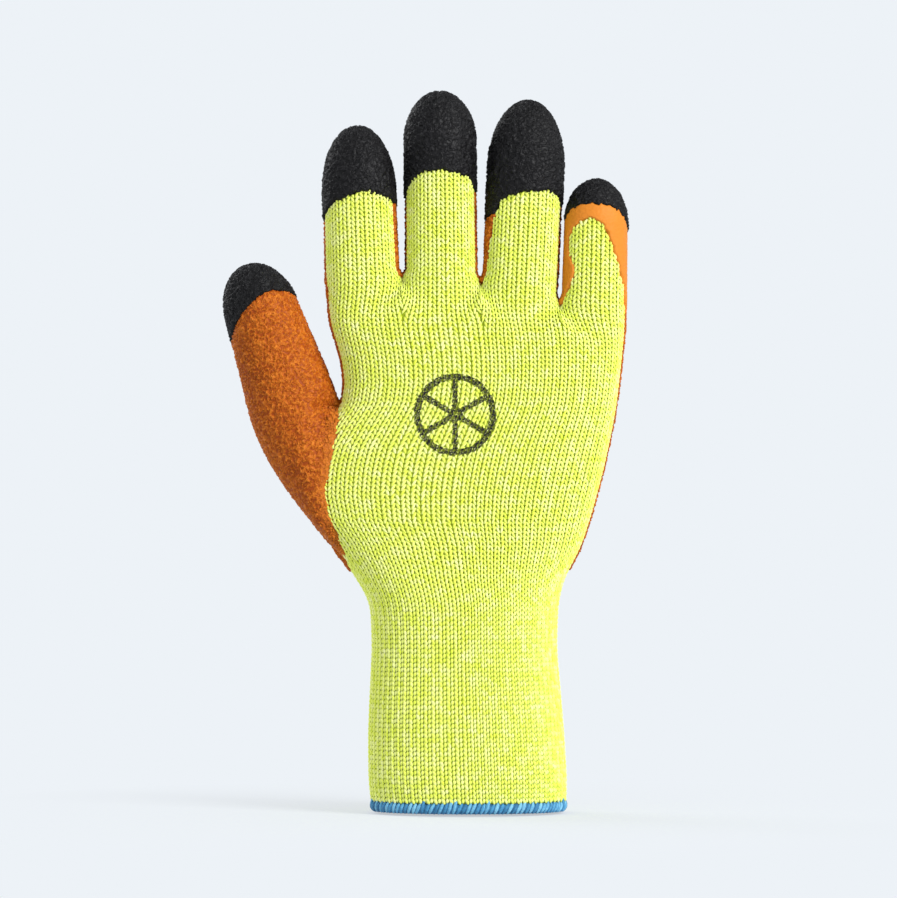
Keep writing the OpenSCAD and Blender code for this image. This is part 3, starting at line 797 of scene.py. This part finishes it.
form = blank()
for finger in fingers[:3]:
    knit(form, finger, False, print_z - print_size - 4, print_z + print_size + 4,
         lambda across, palm, height, at: in_print(at))
finished("print_stitches", form, [inked], ["hand"], stands_for=["back_print"])

# ---------------------------------------------------------------------------------------------
# Fingers: each grows out of its strip of the hand as a tube of knit in orange latex, and its tip is dipped
# again in black.
# Each is cut into three pieces: the first runs from the hand over the knuckle, and the next two part
# halfway between its folds.
black_lift = 1.0  # of the black latex above the skin, over the orange
cap_low, cap_least = 205, 212  # where the caps' sheets start, and how high a piece has to reach
# The black cap's edge on each finger, as heights by turn in degrees.
index.cap = edge((-180, 214), (-90, 217), (-60, 221.6), (-35, 224), (0, 226.5), (10, 227), (40, 225.6),
                 (60, 223.6), (85, 221.6), (180, 214))
middle.cap = edge((-180, 222), (-90, 225), (-60, 231), (-30, 234), (0, 235), (35, 233.2), (60, 231.7),
                  (85, 226.7), (180, 222))
ring.cap = edge((-180, 213), (-90, 214.9), (-55, 218.3), (-40, 223.3), (-20, 225.6), (0, 226.7),
                (25, 227.5), (50, 227.3), (65, 225.6), (90, 222), (180, 213))
little.cap = edge((-180, 211), (-80, 217), (-60, 220.5), (-30, 222), (0, 222.7), (20, 221.9), (50, 220),
                  (70, 216.6), (90, 212.6), (180, 211))


def black_reach(finger):
    """How far inside the black cap a point lies."""
    def reach(across, palm, height, at):
        turn = 180 - 90 * across if palm else 90 * across
        turn = np.where(turn > 180, turn - 360, turn)
        return height - finger.cap(turn) + wander(at, 1.4, 1.2, 9)
    return reach


# The black's pit colour is a painted shade and its ridge colour a painted highlight.
black = latex("black_latex", "#070607", "#0e0d0f", "#1b1a1c", "#121113", 0.4)
for finger in fingers:
    name = finger.name
    bare, black_in = open_knit(finger), black_reach(finger)
    bounds = [root_z] + [finger.base[2] + (a + b) / 2 for a, b in zip(finger.folds, finger.folds[1:])]
    bounds.append(finger.base[2] + finger.end)
    chain = ["hand", name + "_proximal", name + "_middle", name + "_distal"]
    nodes = [[name + "_base_fold", name + "_proximal_knit", name + "_proximal_coat"],
             [name + "_middle_fold", name + "_middle_knit",
              name + ("_middle_coat" if finger is little else "_middle_dip")],
             [name + "_end_fold", name + "_distal_knit", name + "_tip_dip"]]
    if finger is middle:
        nodes[0] += ["hand_knit", "palm_coat"]

    def kept(across, palm, height, at):
        free = bare(across, palm, height, at) & (black_in(across, palm, height, at) < 1.6)
        return free & (palm | ~in_print(at))

    def calm(across, palm, height, at):
        """The little finger's latex is smooth above its tongue."""
        if finger is not little:
            return np.zeros(len(at))
        return 0.9 * smooth(height, 176, 190) * (smooth(np.abs(across), 0.5, 1) if palm else 1)

    for i, part_name in enumerate(("root", "middle", "tip")):
        low, high = bounds[i:i + 2]
        form = blank()
        for palm in (False, True):
            knit(form, finger, palm, low, min(high, finger.base[2] + finger.length - 2), kept)
            backing(form, finger, palm, low, high)
        skin = strip_skin(finger)
        coat(form, skin, orange_reach(finger), low, high, orange_lift, 38, black_in, calm, number=2)
        if high > cap_least:
            coat(form, skin, black_in, max(low, cap_low), high, black_lift, 38, number=3)
        reach = 7 if i == 0 else 0.45 * (finger.folds[i] - finger.folds[i - 1])
        zone = [Vector((finger.base + finger.up * (finger.folds[i] + s * reach)) / 1000) for s in (-1, 1)]
        finished(f"{name}_{part_name}", form, [yarn, yarn_in_painted_shade, orange, black], chain[i:i + 2],
                 nodes[i])

# ---------------------------------------------------------------------------------------------
# Thumb: a tube of knit dipped all round, first in orange and its tip in black. Its root grows out of
# the palm's side and lies flush with the bare knit on the back.
thumb = Digit("thumb", (15.1, 12.9), 12.7, 18.5)
root_rings = np.array([  # height along the thumb, centre x y z, half width, half depth and lean
    (0, *thumb.base, thumb.widths[0], thumb.depth, math.degrees(math.atan2(thumb.up[0], thumb.up[2]))),
    (-26.5, -57, 2, 132.5, 15.4, 14.2, -27), (-50.9, -44.2, 1, 111.7, 13, 13.2, -36),
    (-77.2, -30.2, 0, 89.4, 9, 8.5, -37)])
root_curves = [np.polyfit(root_rings[:, 0], root_rings[:, i], 3) for i in range(1, 7)]


def oval_share(x, z):
    """The share of the back's oval that lies at this x."""
    level = np.clip(z, 0, levels[-1] - 1).astype(int)
    steps = np.linspace(0, 1, oval_steps + 1)
    return np.array([np.interp(a, ovals[k, 0], steps) for a, k in zip(x, level)])


def thumb_skin(across, palm, height):
    """The skin of the thumb and its root: height runs along the thumb, from 0 at its fold."""
    across = np.clip(across, -1, 1)
    turn = math.pi * (1 - across / 2) if palm else math.pi * across / 2
    far = thumb.skin(turn, np.maximum(height, 0))
    x, y, z, wide, deep, lean = (np.polyval(curve, np.minimum(height, 0)) for curve in root_curves)
    lean = np.radians(lean)
    side, out = wide * np.sin(turn), -deep * np.cos(turn)
    near = np.column_stack([x + side * np.cos(lean), y + out, z - side * np.sin(lean)])
    skin = np.where(height[:, None] > 0, far, near)
    if not palm:
        line = thumb_line(np.minimum(skin[:, 2], 153))
        back = oval_skin(oval_share(np.maximum(skin[:, 0], line - 1), skin[:, 2]), skin[:, 2])[:, 1]
        flush = smooth(skin[:, 0], line - 13, line - 1) * (1 - smooth(skin[:, 2], 147, 157))
        skin[:, 1] += (back - skin[:, 1]) * flush * (1 - smooth(np.abs(across), 0.7, 1))
    return skin


# The black cap's edge, as heights along the thumb by turn in degrees.
thumb_cap = edge((-180, 20), (-90, 19.5), (-60, 24), (-30, 29), (0, 32.5), (25, 33.8), (60, 31.5),
                 (90, 28.5), (180, 20))


def thumb_orange(across, palm, height, at):
    """How far inside the thumb's orange latex a point lies."""
    inside = np.full(len(at), 20.0) if palm else np.minimum(20, thumb_line(at[:, 2]) - at[:, 0])
    return inside + wander(at, 1.6, 0.8)


def thumb_black(across, palm, height, at):
    """How far inside the thumb's black cap a point lies."""
    turn = 180 - 90 * across if palm else 90 * across
    return height - thumb_cap(np.where(turn > 180, turn - 360, turn)) + wander(at, 1.4, 0.5, 9)


def thumb_calm(across, palm, height, at):
    """The latex is smoother where it runs out on the knit."""
    return np.zeros(len(at)) if palm else 0.4 * smooth(thumb_orange(across, palm, height, at), 5, 0)


thumb_mid = thumb.folds[1] / 2
for part_name, low, high, bodies, fold, reach, nodes in (
        ("root", -78.0, thumb_mid, ["hand", "thumb_proximal"], 0, 9,
         ["thumb_base_fold", "thumb_proximal_knit", "thumb_proximal_coat"]),
        ("tip", thumb_mid, thumb.end, ["thumb_proximal", "thumb_distal"], thumb.folds[1],
         0.45 * thumb.folds[1], ["thumb_end_fold", "thumb_distal_knit", "thumb_tip_dip"])):
    form = blank()
    coat(form, thumb_skin, thumb_orange, low, high, orange_lift, 42, thumb_black, thumb_calm)
    if part_name == "tip":
        coat(form, thumb_skin, thumb_black, low, high, black_lift, 42, number=1)
    zone = [Vector((thumb.base + thumb.up * (fold + s * reach)) / 1000) for s in (-1, 1)]
    finished("thumb_" + part_name, form, [orange, black], bodies, nodes)
